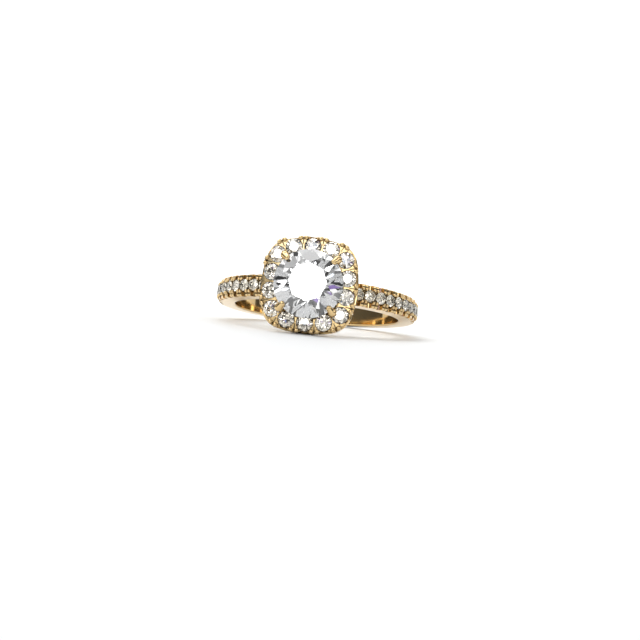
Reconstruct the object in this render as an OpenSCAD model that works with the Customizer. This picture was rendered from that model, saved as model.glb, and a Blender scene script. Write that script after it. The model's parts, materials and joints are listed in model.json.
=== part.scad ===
// Gold ring with a round centre stone in a cushion halo and stone-set shoulders, in millimetres.
// It lies on its side as it would on a table, on the back of its band and the lower edge of
// its halo, with the head towards -Y. The origin is the centre of the finger hole.

/* [Finger] */
// Inside diameter of the band, where 17.3 is a US size 7
finger_d = 17.3; // [14:0.1:22]

/* [Band] */
// Thickness of the band in the middle of the head
front_t = 1.9; // [1.7:0.05:2.6]
// Thickness of the band at its back
back_t = 1.6; // [1.3:0.05:2.6]
// Width of the band along the finger
band_w = 2.2; // [1.9:0.05:3]
// Rounding of the outer edges of the band
outer_round = 0.2; // [0.1:0.05:0.35]
// Rounding of the edges of the finger hole
inner_round = 0.15; // [0.05:0.05:0.3]

/* [Cut of the stones] */
// Table width as a share of the stone's diameter
table_share = 0.56; // [0.52:0.01:0.64]
// Slope of the crown's main facets in degrees
crown_slope = 34.5; // [30:0.5:38]
// Slope of the pavilion's main facets in degrees
pavilion_slope = 40.8; // [39:0.2:43]
// Girdle thickness as a share of the stone's diameter
girdle_share = 0.035; // [0.025:0.005:0.06]

/* [Centre stone] */
// Diameter of the centre stone
centre_d = 6.5; // [5.5:0.1:8]
// Gap between the point of the centre stone and the finger
culet_rise = 1.5; // [1.2:0.1:3]

/* [Halo] */
// Number of halo stones
halo_n = 14; // [14:1:16]
// Gap between two halo stones, measured along the line through their middles
halo_gap = 0.2; // [0.16:0.02:0.4]
// How far the middles of the halo stones lie outside the centre stone at the middle of a side
halo_out = 0.36; // [0.2:0.02:0.8]
// Radius of the halo's bowed sides, through the middles of its stones
halo_side_r = 9; // [7:0.1:13]
// Radius of the halo's corners, through the middles of its stones
halo_corner_r = 1.4; // [1:0.1:1.9]
// How far the girdles of the halo stones lie below that of the centre stone
halo_drop = 0.6; // [0.5:0.05:1]
// How far the halo's rail reaches past its stones
halo_wall = 0.2; // [0.16:0.01:0.3]
// How far the halo's wall lies inside its rail
halo_step = 0.13; // [0.08:0.01:0.16]
// Height of the halo from its underside to the girdles of its stones
halo_h = 0.95; // [0.9:0.05:1.4]

/* [Claws] */
// Diameter of a claw beside the centre stone
claw_d = 0.8; // [0.65:0.05:1]
// Diameter of a claw at its tip
claw_tip_d = 0.54; // [0.4:0.02:0.7]
// How far the middle of a claw's tip lies inside the edge of the centre stone
claw_reach = 0.2; // [0.1:0.02:0.4]

/* [Basket] */
// Diameter of the wire of the ring that the claws stand on
base_wire_d = 0.56; // [0.4:0.02:0.8]
// Diameter of the wire of the upper ring between the claws
rail_wire_d = 0.4; // [0.3:0.02:0.6]

/* [Shoulders] */
// Number of stones on each shoulder
shoulder_n = 10; // [5:1:14]
// Diameter of a shoulder stone
shoulder_stone_d = 1.2; // [0.9:0.05:1.3]
// Gap between two shoulder stones
shoulder_gap = 0.1; // [0.08:0.02:0.3]
// Angle from the middle of the head at which the shoulder stones begin
shoulder_start = 22.5; // [20:0.5:40]

/* [Prongs and cuts] */
// Diameter of a prong that holds shoulder stones
prong_d = 0.32; // [0.24:0.02:0.36]
// Gap between the twin prongs of the shoulders
prong_gap = 0.06; // [0.04:0.01:0.1]
// Diameter of a prong that holds halo stones
halo_prong_d = 0.46; // [0.34:0.02:0.5]
// Gap between the twin prongs of the halo at its edge
halo_prong_gap = 0.1; // [0.08:0.01:0.14]
// Width of the U-shaped cut beside each shoulder stone
shoulder_cut_w = 0.6; // [0.4:0.02:0.62]
// Depth of the U-shaped cut beside each shoulder stone
shoulder_cut_h = 0.5; // [0.35:0.05:0.6]
// Width of the U-shaped cut beside each halo stone
halo_cut_w = 0.7; // [0.5:0.02:0.76]
// Depth of the U-shaped cut beside each halo stone
halo_cut_h = 0.56; // [0.4:0.02:0.6]

/* [Fit] */
// How far the girdles of the small stones stand above the metal
girdle_rise = 0.05; // [0.04:0.01:0.08]
// Gap between a stone and the metal that holds it
stone_clearance = 0.03; // [0.02:0.01:0.06]

/* [Hidden] */
$fn = 48;
gold = "#e6c27a";
clear_stone = "#eef3f7";
// What a cut runs past the surface that it opens
past = 0.5;
// Where the lower girdle facets of a stone end, as a share of its radius
lower_share = 0.24;

// Band: its outer circle is centred nearer the head, so that the back is thinner
finger_r = finger_d / 2;
outer_r = finger_r + (front_t + back_t) / 2;
outer_shift = (front_t - back_t) / 2;
front_r = outer_r + outer_shift;

// Centre stone
centre_r = centre_d / 2;
centre_level = finger_r + culet_rise - culet_z(centre_d);

// Halo: a line of arcs runs through the middles of the stones, seen from the front of the head
halo_half = centre_r + halo_out;
side_shift = halo_side_r - halo_half;
arc_step = halo_side_r - halo_corner_r;
corner_at = (sqrt(2 * arc_step * arc_step - side_shift * side_shift) - side_shift) / 2;
side_turn = atan2(corner_at, corner_at + side_shift);
corner_turn = 90 - 2 * side_turn;
side_run = halo_side_r * side_turn * PI / 180;
corner_run = halo_corner_r * corner_turn * PI / 180;
quarter_run = 2 * side_run + corner_run;
halo_pitch = 4 * quarter_run / halo_n;
halo_stone_d = halo_pitch - halo_gap;
halo_inset = halo_stone_d / 2 + halo_wall;
halo_reach = halo_half + halo_inset;
halo_level = centre_level - halo_drop;
halo_floor = halo_level - halo_h;
// Rail round the foot of the halo: the bevel of its edges and the height of its upright face
rail_bevel = 0.1;
rail_h = 0.26;
// How far the halo's prongs stand out past its rail, and how far they end above its underside
lobe_out = 0.03;
lobe_foot = 0.2;
// Halo's plate: how far its sides run in from the line of the stones, how far the caps of its
// corners stand out past the sides, by what angle they lap over them, and their inner radius
web = 0.95 * halo_corner_r;
cap_rise = 0.015;
cap_lap = 3;
cap_inner = 0.1 * halo_corner_r;

// Shoulders
shoulder_r = outer_r + girdle_rise;
shoulder_pitch = 2 * asin((shoulder_stone_d + shoulder_gap) / 2 / shoulder_r);

// Prongs: where their beads lie beside a stone, as shares of its diameter, and how they are rounded
prong_out = 0.5;
bead_in = 0.42;
bead_share = 0.65;
dome_share = 0.9;
prong_top = 0.03;
// Saw cuts: where they begin beside a stone, as a share of its diameter, and their depths
slit_in = 0.12;
halo_slit_h = 0.46;
shoulder_slit_h = 0.3;
// Hole behind each halo stone: its width and how far it ends below the girdle, as shares of
// the stone's diameter
azure_share = 0.48;
azure_end = 0.2;

// Claws: they lean outwards past the halo stones and bend in over the centre stone
claw_r = claw_d / 2;
tip_r = claw_tip_d / 2;
// Share of a claw's radius that the edge of the centre stone is let into
claw_bite = 0.4;
// A claw's width at its foot as a share of its width beside the stone, how much wider the balls
// at its bend and tip are than the claw there, and how high its tip's middle lies over the
// stone as a share of the tip's radius
foot_share = 0.85;
ball_share = 1.03;
tip_lift = 0.5;
corner_inner = corner_at * sqrt(2) + halo_corner_r - halo_stone_d / 2;
knee = [centre_r + (1 - claw_bite) * claw_r, centre_level];
slip = [corner_inner - claw_r - 2 * stone_clearance, halo_level];
claw_lean = (knee[0] - slip[0]) / (knee[1] - slip[1]);
tip_at = centre_r - claw_reach;
tip = [tip_at, centre_level + crown_z(centre_d, tip_at) + tip_lift * tip_r];

// Basket: the lower ring is sunk into the band by a share of its wire, and the upper one lies
// midway between it and the halo
base_sunk = 0.2;
base_level = front_r - base_sunk * base_wire_d;
base_r = claw_at(base_level);
rail_level = (base_level + base_wire_d / 2 + halo_floor) / 2;
// Radius of the hole through the band under the point of the centre stone
culet_hole_r = 0.62;

// Rest: the line that touches the rounded back edge and the lower edge of the halo's rail
back_edge = [outer_r - outer_shift - outer_round, band_w / 2 - outer_round];
rest_run = [halo_floor + rail_bevel + back_edge[0], halo_reach - back_edge[1]];
lean = atan2(rest_run[1], rest_run[0]) - asin(outer_round / norm(rest_run));

function stone_name(place, i) = str(place, "_stone_", i < 10 ? "0" : "", i);

// Heights of a round brilliant of diameter d above the middle of its girdle
function girdle_z(d) = girdle_share * d / 2;
function table_z(d) = girdle_z(d) + (1 - table_share) * d / 2 * tan(crown_slope);
function culet_z(d) = -girdle_z(d) - d / 2 * tan(pavilion_slope);
function crown_z(d, r) = girdle_z(d) + (d / 2 - r) * tan(crown_slope);
function pavilion_z(d, r) = -girdle_z(d) - (d / 2 - r) * tan(pavilion_slope);

// Distance from the middle of a stone at which its star facets end
function star_r(d) = (1 + table_share) / 4 * d;

// Distance of a claw's axis from the axis of the head at a level
function claw_at(level) = knee[0] - (knee[1] - level) * claw_lean;

// A way s along the middle of the halo, clockwise from its top: the turn of the outward
// direction, then the point
function halo_turn(s) = 90 * floor(s / quarter_run) + quarter_turn(s % quarter_run);
function quarter_turn(s) =
    s < side_run ? s / halo_side_r * 180 / PI
    : s < side_run + corner_run ? side_turn + (s - side_run) / halo_corner_r * 180 / PI
    : 90 - (quarter_run - s) / halo_side_r * 180 / PI;
function quarter_point(s) =
    let (t = quarter_turn(s))
    s < side_run ? [0, -side_shift] + halo_side_r * [sin(t), cos(t)]
    : s < side_run + corner_run ? [corner_at, corner_at] + halo_corner_r * [sin(t), cos(t)]
    : [-side_shift, 0] + halo_side_r * [sin(t), cos(t)];
function halo_point(s) =
    let (a = -90 * floor(s / quarter_run), p = quarter_point(s % quarter_run))
    [p[0] * cos(a) - p[1] * sin(a), p[0] * sin(a) + p[1] * cos(a)];

// An arc of radius r round c from angle a to angle b, in small straight steps
function arc(c, r, a, b) = [for (t = [a:22.5:b]) c + r * [cos(t), sin(t)]];

// Turns the ring from its own frame, with the finger along Z, to how it lies
module at_rest() {
    rotate([-lean, 0, 0]) children();
}

// The frame of the head: Z outwards from the finger's axis, Y along the finger
module on_head(level = 0) {
    rotate([90, 0, 0]) translate([0, 0, level]) children();
}

// A frame on the halo, s along it: Y points out of the halo, Z out of the head
module on_halo(s, level = 0) {
    p = halo_point(s);
    on_head(level) translate([p[0], p[1], 0]) rotate([0, 0, -halo_turn(s)]) children();
}

// A frame on the shoulders at an angle from the head: Z outwards, Y along the finger
module on_shoulder(angle) {
    translate([0, -outer_shift, 0]) rotate([0, 0, angle]) on_head(shoulder_r) children();
}

// A straight rod between two points, r1 thick at the first and r2 at the second
module rod(p, q, r1, r2) {
    v = q - p;
    translate(p)
        rotate([0, acos(v[2] / norm(v)), atan2(v[1], v[0])])
            cylinder(r1 = r1, r2 = r2, h = norm(v));
}

// Round brilliant of diameter d with a girdle of 16 * steps sides, its middle at the origin
module brilliant(d, steps = 1) {
    r = d / 2;
    sides = 16 * steps;
    star = star_r(d);
    lower_r = lower_share * r;
    half = cos(22.5);
    // A girdle facet's plane meets the girdle's round side a little nearer the middle
    chord = r * cos(11.25);
    function dip(i, rise, inner) =
        rise * (r * cos(360 * i / sides - 22.5 * floor(i / steps) - 11.25) - chord)
        / (chord - inner * cos(11.25));
    star_z = crown_z(d, star * half);
    lower_z = pavilion_z(d, lower_r * half);
    table = [for (i = [0:7]) [table_share * r * cos(45 * i), table_share * r * sin(45 * i), table_z(d)]];
    stars = [for (i = [0:7]) [star * cos(45 * i + 22.5), star * sin(45 * i + 22.5), star_z]];
    upper = [for (i = [0:sides - 1])
        [r * cos(360 * i / sides), r * sin(360 * i / sides),
            girdle_z(d) - dip(i, star_z - girdle_z(d), star)]];
    lower = [for (i = [0:sides - 1])
        [r * cos(360 * i / sides), r * sin(360 * i / sides),
            -girdle_z(d) + dip(i, -girdle_z(d) - lower_z, lower_r)]];
    deep = [for (i = [0:7]) [lower_r * cos(45 * i + 22.5), lower_r * sin(45 * i + 22.5), lower_z]];
    star_0 = 8;
    upper_0 = 16;
    lower_0 = upper_0 + sides;
    deep_0 = lower_0 + sides;
    culet = deep_0 + 8;
    main = 2 * steps;
    function at(first, i) = first + (i + sides) % sides;
    polyhedron(
        points = concat(table, stars, upper, lower, deep, [[0, 0, culet_z(d)]]),
        faces = concat(
            [[for (i = [7:-1:0]) i]],
            [for (i = [0:7]) [i, (i + 1) % 8, star_0 + i]],
            [for (i = [0:7]) [i, star_0 + i, upper_0 + i * main, star_0 + (i + 7) % 8]],
            [for (i = [0:7], side = [0, 1])
                concat([star_0 + i], [for (j = [steps:-1:0]) at(upper_0, i * main + side * steps + j)])],
            [for (i = [0:sides - 1]) [upper_0 + i, at(upper_0, i + 1), at(lower_0, i + 1), lower_0 + i]],
            [for (i = [0:7], side = [0, 1])
                concat([deep_0 + i], [for (j = [0:steps]) at(lower_0, i * main + side * steps + j)])],
            [for (i = [0:7]) [culet, deep_0 + (i + 7) % 8, lower_0 + i * main, deep_0 + i]]
        )
    );
}

// The round space that a stone of diameter d needs
module seat(d) {
    c = stone_clearance;
    rotate_extrude()
        polygon([
            [0, culet_z(d) - 2 * c],
            [d / 2 + c, -girdle_z(d) - c],
            [d / 2 + c, girdle_z(d) + c],
            [star_r(d) + c, crown_z(d, star_r(d) * cos(22.5)) + c],
            [table_share * d / 2 + c, table_z(d) + c],
            [0, table_z(d) + c]
        ]);
}

// Solid disc of the band's outer shape, and the space that the finger takes
module band_outside() {
    half = band_w / 2;
    r = outer_round;
    edge = [outer_r - r, half - r];
    translate([0, -outer_shift, 0])
        rotate_extrude()
            polygon(concat(
                [[0, -half]],
                arc([edge[0], -edge[1]], r, -90, 0),
                arc(edge, r, 0, 90),
                [[0, half]]
            ));
}
module finger_space() {
    half = band_w / 2;
    r = inner_round;
    edge = [finger_r + r, half - r];
    rotate_extrude()
        polygon(concat(
            [[0, -half - past], [finger_r + r, -half - past]],
            [for (a = [-90:22.5:0]) [edge[0], -edge[1]] + r * [-cos(a), sin(a)]],
            [for (a = [0:22.5:90]) edge + r * [-cos(a), sin(a)]],
            [[finger_r + r, half + past], [0, half + past]]
        ));
}

// U-shaped cut of width w and depth h, which runs along Y from y0 to y1
module u_cut(w, h, y0, y1) {
    bow = arc([0, w / 2 - h], w / 2, 180, 360);
    translate([0, y1, 0])
        rotate([90, 0, 0])
            linear_extrude(height = y1 - y0) polygon(concat(bow, [[w / 2, w / 2], [-w / 2, w / 2]]));
}

// Saw cut between twin prongs, which widens along Y from y0 to y1 and ends at a depth h
module slit(w, h, y0, y1) {
    translate([0, 0, -h])
        linear_extrude(height = h + past)
            polygon([[-w / 4, y0], [w / 4, y0], [w / 2, y1], [-w / 2, y1]]);
}

// Twin prongs, worked to beads, at each edge of the band in every gap between shoulder stones
module shoulder_prongs(turn) {
    r = prong_d / 2;
    bead = [(prong_d + prong_gap) / 2, prong_out * shoulder_stone_d, girdle_z(shoulder_stone_d)];
    for (i = [0:shoulder_n])
        on_shoulder(turn * (shoulder_start + i * shoulder_pitch))
            for (x = [-bead[0], bead[0]], y = [-bead[1], bead[1]])
                translate([x, y, bead[2]]) sphere(r = r);
}
module shoulder_cuts(turn) {
    for (i = [0:shoulder_n - 1])
        on_shoulder(turn * (shoulder_start + (i + 0.5) * shoulder_pitch)) {
            seat(shoulder_stone_d);
            u_cut(shoulder_cut_w, shoulder_cut_h, -band_w, band_w);
        }
    for (i = [0:shoulder_n])
        on_shoulder(turn * (shoulder_start + i * shoulder_pitch))
            for (edge = [0, 1])
                mirror([0, edge, 0])
                    slit(prong_gap, shoulder_slit_h, slit_in * shoulder_stone_d, band_w);
}

// Section of the halo's plate and its rail, which runs in to inside and reaches out to outside
module halo_section(inside, outside) {
    wall_out = outside - halo_step;
    top = halo_level - girdle_rise;
    polygon([
        [inside, halo_floor],
        [outside - rail_bevel, halo_floor],
        [outside, halo_floor + rail_bevel],
        [outside, halo_floor + rail_h],
        [wall_out, halo_floor + rail_h + rail_bevel / 2],
        [wall_out, top - rail_bevel / 2],
        [wall_out - rail_bevel / 2, top],
        [inside, top]
    ]);
}

// Plate with a rail round its foot, open in the middle for the centre stone: a bowed length
// for each side, and for each corner a round cap that laps over the lengths beside it
module halo_plate() {
    difference() {
        on_head()
            for (q = [0:3])
                rotate([0, 0, 90 * q]) {
                    translate([-side_shift, 0, 0])
                        rotate([0, 0, -side_turn])
                            rotate_extrude(angle = 2 * side_turn)
                                halo_section(halo_side_r - web, halo_side_r + halo_inset);
                    translate([corner_at, corner_at, 0])
                        rotate([0, 0, side_turn - cap_lap])
                            rotate_extrude(angle = corner_turn + 2 * cap_lap)
                                halo_section(cap_inner, halo_corner_r + halo_inset + cap_rise);
                }
        on_head(halo_floor - past) cylinder(r = halo_half - halo_inset, h = halo_h + 2 * past);
    }
}

// A fishtail in every gap between halo stones: twin prongs that rise along the halo's wall and
// run in to one bead beside the centre stone
module halo_prongs() {
    r = halo_prong_d / 2;
    lobe = [(halo_prong_d + halo_prong_gap) / 2, halo_inset + lobe_out - r];
    bead = [0, -bead_in * halo_stone_d];
    bead_r = bead_share * r;
    foot = halo_h - lobe_foot;
    top = girdle_z(halo_stone_d) + prong_top;
    for (i = [0:halo_n - 1])
        on_halo((i + 0.5) * halo_pitch, halo_level) {
            translate([0, 0, -foot])
                linear_extrude(height = foot + top)
                    polygon(concat(
                        arc(bead, bead_r, 180, 360),
                        arc(lobe, r, 0, 90),
                        arc([-lobe[0], lobe[1]], r, 90, 180)
                    ));
            translate([bead[0], bead[1], top]) sphere(r = dome_share * bead_r);
            for (side = [-1, 1])
                translate([side * lobe[0], lobe[1], top]) sphere(r = dome_share * r);
        }
}
module halo_cuts() {
    hole_r = azure_share * halo_stone_d / 2;
    hole_end = azure_end * halo_stone_d;
    for (i = [0:halo_n - 1]) {
        on_halo(i * halo_pitch, halo_level) {
            seat(halo_stone_d);
            translate([0, 0, -halo_h - past]) cylinder(r = hole_r, h = halo_h + past - hole_end);
            u_cut(halo_cut_w, halo_cut_h, 0, halo_inset + past);
        }
        on_halo((i + 0.5) * halo_pitch, halo_level)
            slit(halo_prong_gap, halo_slit_h, slit_in * halo_stone_d, halo_inset + 2 * lobe_out);
    }
}

// Four claws on the diagonals of the head, with the two rings of wire that tie them
module claws() {
    foot = [claw_at(base_level), base_level];
    for (q = [0:3])
        rotate([0, 0, 45 + 90 * q]) {
            rod([foot[0], 0, foot[1]], [knee[0], 0, knee[1]], foot_share * claw_r, claw_r);
            translate([knee[0], 0, knee[1]]) sphere(r = ball_share * claw_r);
            rod([knee[0], 0, knee[1]], [tip[0], 0, tip[1]], claw_r, tip_r);
            translate([tip[0], 0, tip[1]]) sphere(r = ball_share * tip_r);
        }
}
module basket() {
    translate([0, 0, base_level])
        rotate_extrude() translate([base_r, 0]) circle(d = base_wire_d);
    translate([0, 0, rail_level])
        rotate_extrude() translate([claw_at(rail_level), 0]) circle(d = rail_wire_d);
}

// Halo, claws and basket, with the seats of the stones that they hold
module head() {
    difference() {
        union() {
            halo_plate();
            halo_prongs();
            on_head() {
                claws();
                basket();
            }
        }
        on_head(centre_level) seat(centre_d);
        halo_cuts();
    }
}

// Band with its prongs, the finger hole, the hole under the centre stone and the seats
module shank() {
    difference() {
        union() {
            band_outside();
            shoulder_prongs(1);
            shoulder_prongs(-1);
        }
        finger_space();
        on_head() cylinder(r = culet_hole_r, h = front_r + past);
        shoulder_cuts(1);
        shoulder_cuts(-1);
    }
}

module mounting() {
    color(gold)
        at_rest() {
            head();
            shank();
        }
}

module centre_stone() {
    color(clear_stone) at_rest() on_head(centre_level) brilliant(centre_d, 3);
}

module halo_stone(i) {
    color(clear_stone) at_rest() on_halo((i - 1) * halo_pitch, halo_level) brilliant(halo_stone_d);
}

// Turn is 1 for the right shoulder and -1 for the left
module shoulder_stone(i, turn) {
    color(clear_stone)
        at_rest()
            on_shoulder(turn * (shoulder_start + (i - 0.5) * shoulder_pitch))
                brilliant(shoulder_stone_d);
}

mounting();
centre_stone();
for (i = [1:halo_n])
    halo_stone(i);
for (i = [1:shoulder_n])
    shoulder_stone(i, -1);
for (i = [1:shoulder_n])
    shoulder_stone(i, 1);
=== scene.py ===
"""Gold ring with a round centre stone in a cushion halo, lying on its side on a pale table."""
import json
import math

import bmesh
import bpy
from mathutils import Matrix, Vector


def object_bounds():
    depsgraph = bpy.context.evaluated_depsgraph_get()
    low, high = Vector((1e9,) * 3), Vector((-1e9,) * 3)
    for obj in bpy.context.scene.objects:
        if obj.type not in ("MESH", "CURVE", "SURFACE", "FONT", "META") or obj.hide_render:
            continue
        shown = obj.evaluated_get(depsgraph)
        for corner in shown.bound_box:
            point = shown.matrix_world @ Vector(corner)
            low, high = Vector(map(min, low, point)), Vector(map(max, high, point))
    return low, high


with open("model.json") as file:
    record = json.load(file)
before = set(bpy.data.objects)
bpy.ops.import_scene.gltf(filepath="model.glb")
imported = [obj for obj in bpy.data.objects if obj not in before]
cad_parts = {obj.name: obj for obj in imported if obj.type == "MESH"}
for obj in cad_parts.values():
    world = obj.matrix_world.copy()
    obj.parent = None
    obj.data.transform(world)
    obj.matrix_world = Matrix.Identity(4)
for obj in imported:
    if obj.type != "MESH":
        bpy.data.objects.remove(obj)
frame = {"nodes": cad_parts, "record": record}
cad_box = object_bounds()
MM = 0.001

# How far the finger hole's axis leans from upright, and the level of the table
FINGER_AXIS = frame["record"]["mounts"][0]["axis"]
LEAN = math.atan2(FINGER_AXIS[1], FINGER_AXIS[2])
FLOOR_Z = cad_box[0].z

# Camera found from the head's corners, claws and band edges in the photograph, for a 640 x 640 image
IMAGE = 640
SENSOR_MM = 36.0
CAMERA = {"focal_px": 941.9, "tilt": -6.61, "yaw": -4.33, "roll": 6.25,
          "x_mm": -0.26, "z_mm": 1.77, "away_mm": 100.0, "near_mm": 5, "far_mm": 10000}

# Table top: where its flat part begins and ends, the radius of its sweep behind the ring, how far it rises
# above that, and its matt paint
TABLE_MM = {"half_width": 500, "front": -300, "back": 90, "sweep": 90, "top": 400}
SWEEP_STEPS = 12
TABLE_PAINT = {"colour": "#FAFBFB", "roughness": 0.6}

# Finish of the gold: how much the mop rounds the edges, how long and deep the waves are that it leaves, and
# how far apart the marks of wear are, with the roughness between and on them. Real marks are ten times
# finer, and are drawn as coarse as they need to be to show
EDGE_MM = 0.05
WAVES = {"length_mm": 1.1, "depth_mm": 0.02, "strength": 0.12}
MARKS = {"apart_mm": 0.42, "polished": 0.05, "worn": 0.13}

# Colours of the gold, by how open a spot is to what lies within this distance: brown painted shade in the
# crevices and hollows, where nearby metal closes a spot in, and clean metal
PAINTED_SHADE_MM = 0.35
GOLD_AND_PAINTED_SHADE = ({"open": 0.3, "colour": "#3A240A"}, {"open": 0.85, "colour": "#E6C893"})

# Cut stones: the refractive index of diamond, and how much the small stones stand askew, as a share of
# their facets' normals
DIAMOND_IOR = 2.42
ASKEW = 0.05

# How far the lights that mirror in the centre stone stand from it
GLARE_MM = 150

# The room's own light level near the table and overhead, and its soft panels: degrees to the right of
# the head, degrees above the table, half angle and fading edge in degrees, colour and level
ROOM = {"low": 0.05, "high": 0.35}
PANELS = (
    {"right": -68, "up": 50, "half": 20, "edge": 4, "colour": "#FFFFFF", "level": 2.2},
    {"right": 74, "up": 34, "half": 12, "edge": 3, "colour": "#FFFFFF", "level": 2.2},
    {"right": 150, "up": 60, "half": 16, "edge": 4, "colour": "#FFFFFF", "level": 1.6},
    {"right": -30, "up": 36, "half": 13, "edge": 3, "colour": "#FFFFFF", "level": 1.8},
    {"right": 28, "up": 42, "half": 11, "edge": 3, "colour": "#FFFFFF", "level": 1.8},
    {"right": 36, "up": 12, "half": 5, "edge": 2, "colour": "#FFFFFF", "level": 3.5},
    {"right": -42, "up": 8, "half": 5, "edge": 2, "colour": "#FFFFFF", "level": 3.5},
    {"right": -8, "up": 24, "half": 4, "edge": 2, "colour": "#6F9CD8", "level": 1.2},
    {"right": 12, "up": 20, "half": 3, "edge": 2, "colour": "#9A78D0", "level": 1.2},
)


# Colours and nodes

def linear(hex_colour):
    """A colour written as sRGB hex, as the linear values that a shader takes."""
    parts = [int(hex_colour[i:i + 2], 16) / 255 for i in (1, 3, 5)]
    return tuple(c / 12.92 if c <= 0.04045 else ((c + 0.055) / 1.055) ** 2.4 for c in parts) + (1.0,)


def add(tree, kind, links=None, **values):
    """A node with attributes and input values set, and its inputs linked to the given sockets."""
    node = tree.nodes.new(kind)
    for name, value in values.items():
        if hasattr(node, name):
            setattr(node, name, value)
        else:
            node.inputs[name.replace("_", " ")].default_value = value
    for name, socket in (links or {}).items():
        tree.links.new(socket, node.inputs[name])
    return node


def new_material(name):
    """An empty material and its node tree."""
    material = bpy.data.materials.new(name)
    material.use_nodes = True
    material.node_tree.nodes.clear()
    return material, material.node_tree


def polished_gold():
    """Polished 14 carat yellow gold: warm pale reflections, edges rounded by the polishing mop, fine marks of
    wear that break up the brightest glints, and brown painted shade in the crevices and hollows."""
    material, tree = new_material("polished_gold")
    place = add(tree, "ShaderNodeTexCoord")
    marks = add(tree, "ShaderNodeTexNoise", {"Vector": place.outputs["Object"]},
                Scale=1 / (MARKS["apart_mm"] * MM), Detail=3.0)
    dull = add(tree, "ShaderNodeMapRange", {"Value": marks.outputs["Fac"]},
               To_Min=MARKS["polished"], To_Max=MARKS["worn"])
    waves = add(tree, "ShaderNodeTexNoise", {"Vector": place.outputs["Object"]},
                Scale=1 / (WAVES["length_mm"] * MM), Detail=2.0)
    edges = add(tree, "ShaderNodeBevel", samples=6, Radius=EDGE_MM * MM)
    bump = add(tree, "ShaderNodeBump", {"Height": waves.outputs["Fac"], "Normal": edges.outputs["Normal"]},
               Strength=WAVES["strength"], Distance=WAVES["depth_mm"] * MM)
    # Painted shade: the gold turns brown where nearby metal closes a spot in, as in the crevices and hollows
    painted_shade_ao = add(tree, "ShaderNodeAmbientOcclusion", samples=8, Distance=PAINTED_SHADE_MM * MM)
    tone = add(tree, "ShaderNodeValToRGB", {"Fac": painted_shade_ao.outputs["AO"]})
    for stop, gold in zip(tone.color_ramp.elements, GOLD_AND_PAINTED_SHADE):
        stop.position = gold["open"]
        stop.color = linear(gold["colour"])
    metal = add(tree, "ShaderNodeBsdfPrincipled",
                {"Base Color": tone.outputs["Color"], "Roughness": dull.outputs["Result"],
                 "Normal": bump.outputs["Normal"]}, Metallic=1.0)
    add(tree, "ShaderNodeOutputMaterial", {"Surface": metal.outputs["BSDF"]})
    return material


def cut_diamond(name, colour, askew):
    """Cut diamond: bright flashes beside dark facets, with a trace of blue and violet. A stone set by hand
    stands a little askew, so that each flashes in its own direction."""
    material, tree = new_material(name)
    shape = add(tree, "ShaderNodeNewGeometry")
    stone = add(tree, "ShaderNodeObjectInfo")
    chance = add(tree, "ShaderNodeTexWhiteNoise", {"W": stone.outputs["Random"]}, noise_dimensions="1D")
    off = add(tree, "ShaderNodeVectorMath", {0: chance.outputs["Color"]}, operation="MULTIPLY_ADD")
    off.inputs[1].default_value = (2 * askew,) * 3
    off.inputs[2].default_value = (-askew,) * 3
    leaning = add(tree, "ShaderNodeVectorMath", {0: shape.outputs["Normal"], 1: off.outputs["Vector"]},
                  operation="ADD")
    facet = add(tree, "ShaderNodeVectorMath", {0: leaning.outputs["Vector"]}, operation="NORMALIZE")
    glass = add(tree, "ShaderNodeBsdfGlass", {"Normal": facet.outputs["Vector"]}, IOR=DIAMOND_IOR,
                Roughness=0.0, Color=linear(colour))
    add(tree, "ShaderNodeOutputMaterial", {"Surface": glass.outputs["BSDF"]})
    return material


def matt_white_paint():
    """Matt white paint on the table top: even and without glints, so that it takes a soft contact shadow."""
    material, tree = new_material("matt_white_paint")
    paint = add(tree, "ShaderNodeBsdfPrincipled", Base_Color=linear(TABLE_PAINT["colour"]),
                Roughness=TABLE_PAINT["roughness"])
    add(tree, "ShaderNodeOutputMaterial", {"Surface": paint.outputs["BSDF"]})
    return material


# Camera

def turn(axis, degrees):
    """A turn about an axis, as a matrix."""
    return Matrix.Rotation(math.radians(degrees), 3, axis)


def make_camera():
    """The photograph's camera, a little above the table, which looks at the head from the front."""
    c = CAMERA
    on_head = turn("Y", c["roll"]) @ turn("X", c["tilt"]) @ turn("Z", c["yaw"])
    to_view = on_head @ Matrix.Rotation(LEAN, 3, "X")
    right, ahead, up = to_view
    place = -(to_view.transposed() @ Vector((c["x_mm"], c["away_mm"], c["z_mm"]))) * MM
    data = bpy.data.cameras.new("camera")
    data.sensor_width = SENSOR_MM
    data.lens = c["focal_px"] / IMAGE * SENSOR_MM
    data.clip_start = c["near_mm"] * MM
    data.clip_end = c["far_mm"] * MM
    camera = bpy.data.objects.new("camera", data)
    camera.matrix_world = Matrix.Translation(place) @ Matrix((right, up, -ahead)).transposed().to_4x4()
    bpy.context.collection.objects.link(camera)
    bpy.context.scene.camera = camera
    return camera


# Studio

def drawn_out(mesh, edge, way):
    """Extrudes an edge along a way, and gives the new edge at its end."""
    parts = bmesh.ops.extrude_edge_only(mesh, edges=[edge])["geom"]
    ends = [part for part in parts if isinstance(part, bmesh.types.BMVert)]
    bmesh.ops.translate(mesh, vec=way, verts=ends)
    edges = [part for part in parts if isinstance(part, bmesh.types.BMEdge)]
    return next(part for part in edges if set(part.verts) == set(ends))


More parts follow.
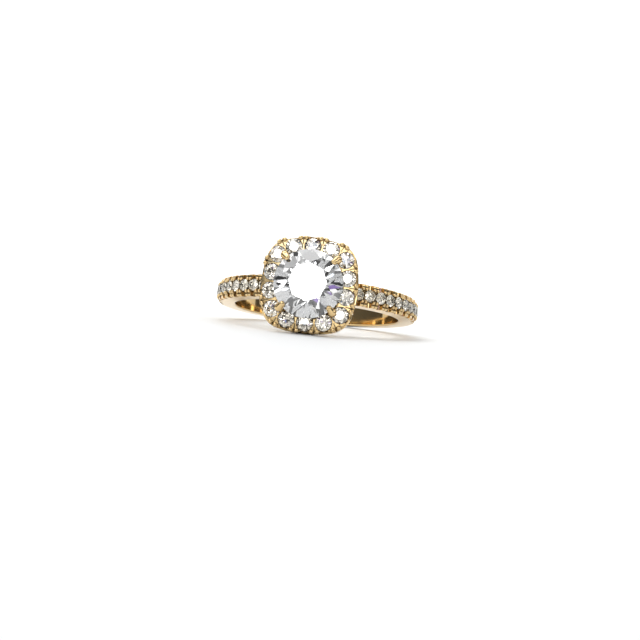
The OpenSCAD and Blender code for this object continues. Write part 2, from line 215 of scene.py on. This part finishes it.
def make_table(material):
    """Level table that sweeps up behind the ring."""
    size = {name: mm * MM for name, mm in TABLE_MM.items()}
    mesh = bmesh.new()
    across = (-size["half_width"], size["half_width"])
    corners = [mesh.verts.new((x, size["front"], FLOOR_Z)) for x in across]
    flat_end = drawn_out(mesh, mesh.edges.new(corners), (0, size["back"] - size["front"], 0))
    sweep = bmesh.ops.spin(mesh, geom=[flat_end], cent=(0, size["back"], FLOOR_Z + size["sweep"]),
                           axis=(1, 0, 0), angle=math.radians(90), steps=SWEEP_STEPS, use_duplicate=False)
    sweep_end = next(part for part in sweep["geom_last"] if isinstance(part, bmesh.types.BMEdge))
    drawn_out(mesh, sweep_end, (0, 0, size["top"]))
    bmesh.ops.recalc_face_normals(mesh, faces=mesh.faces)
    mesh.faces.ensure_lookup_table()
    if mesh.faces[0].normal.z < 0:
        bmesh.ops.reverse_faces(mesh, faces=mesh.faces)
    for face in mesh.faces:
        face.smooth = True
    data = bpy.data.meshes.new("table_top")
    mesh.to_mesh(data)
    mesh.free()
    table = bpy.data.objects.new("table_top", data)
    data.materials.append(material)
    bpy.context.collection.objects.link(table)


def mirrored(viewer, away_mm):
    """Where a light mirrors towards the viewer in the flat top facet of the centre stone, in mm."""
    normal = Vector((0, -math.cos(LEAN), math.sin(LEAN)))
    towards = viewer.normalized()
    return (2 * normal.dot(towards) * normal - towards) * away_mm


def area_light(name, place_mm, size_mm, watts, aim_mm=(0, 0, 0)):
    """A white soft box that faces a point."""
    data = bpy.data.lights.new(name, "AREA")
    data.shape = "RECTANGLE"
    data.size, data.size_y = (s * MM for s in size_mm)
    data.energy = watts
    light = bpy.data.objects.new(name, data)
    light.location = Vector(place_mm) * MM
    light.rotation_mode = "QUATERNION"
    light.rotation_quaternion = (Vector(aim_mm) - Vector(place_mm)).to_track_quat("-Z", "Y")
    bpy.context.collection.objects.link(light)
    return light


def stones_alone():
    """The stones as all that a light falls on, so that it doesn't bleach the gold beside them."""
    stones = bpy.data.collections.new("stones_alone")
    for name, node in frame["nodes"].items():
        if name != "mounting":
            stones.objects.link(node)
    return stones


def soft_room():
    """A dim room with soft panels of light, so that facets and gold show both bright and dark."""
    world = bpy.data.worlds.new("soft_room")
    world.use_nodes = True
    tree = world.node_tree
    tree.nodes.clear()
    place = add(tree, "ShaderNodeTexCoord")
    parts = add(tree, "ShaderNodeSeparateXYZ", {"Vector": place.outputs["Generated"]})
    level = add(tree, "ShaderNodeMapRange", {"Value": parts.outputs["Z"]},
                To_Min=ROOM["low"], To_Max=ROOM["high"])
    light = level.outputs["Result"]
    for panel in PANELS:
        right, up = math.radians(panel["right"]), math.radians(panel["up"])
        near = add(tree, "ShaderNodeVectorMath", {0: place.outputs["Generated"]}, operation="DOT_PRODUCT")
        near.inputs[1].default_value = (math.sin(right) * math.cos(up), -math.cos(right) * math.cos(up),
                                        math.sin(up))
        shape = add(tree, "ShaderNodeMapRange", {"Value": near.outputs["Value"]},
                    interpolation_type="SMOOTHSTEP",
                    From_Min=math.cos(math.radians(panel["half"] + panel["edge"])),
                    From_Max=math.cos(math.radians(panel["half"])))
        both = add(tree, "ShaderNodeVectorMath", {0: shape.outputs["Result"], 2: light},
                   operation="MULTIPLY_ADD")
        both.inputs[1].default_value = [c * panel["level"] for c in linear(panel["colour"])[:3]]
        light = both.outputs["Vector"]
    sky = add(tree, "ShaderNodeBackground", {"Color": light})
    add(tree, "ShaderNodeOutputWorld", {"Surface": sky.outputs["Background"]})
    bpy.context.scene.world = world


# The dressed ring

shoulder_stones = cut_diamond("cut_diamond_shoulders", "#FEFCF7", ASKEW)
finishes = {
    "mounting": polished_gold(),
    "centre": cut_diamond("cut_diamond_centre", "#F7F7F7", 0.0),
    "halo": cut_diamond("cut_diamond_halo", "#FEFCF8", ASKEW),
    "left": shoulder_stones,
    "right": shoulder_stones,
}
for name, node in frame["nodes"].items():
    for slot in node.material_slots:
        slot.material = finishes[name.split("_")[0]]

camera = make_camera()
make_table(matt_white_paint())
soft_room()
in_table = mirrored(camera.location, GLARE_MM)
area_light("key", place_mm=(-30, 20, 180), size_mm=(90, 90), watts=0.08)
glare = area_light("table_glare", place_mm=in_table, size_mm=(26, 26), watts=0.014)
glare.light_linking.receiver_collection = stones_alone()
area_light("gold_fill", place_mm=in_table + Vector((6, 0, 7)), size_mm=(30, 30), watts=0.006)
area_light("backdrop", place_mm=(0, 60, 90), size_mm=(200, 60), watts=0.10, aim_mm=(0, 180, 20))
bpy.context.scene.view_settings.view_transform = "Standard"
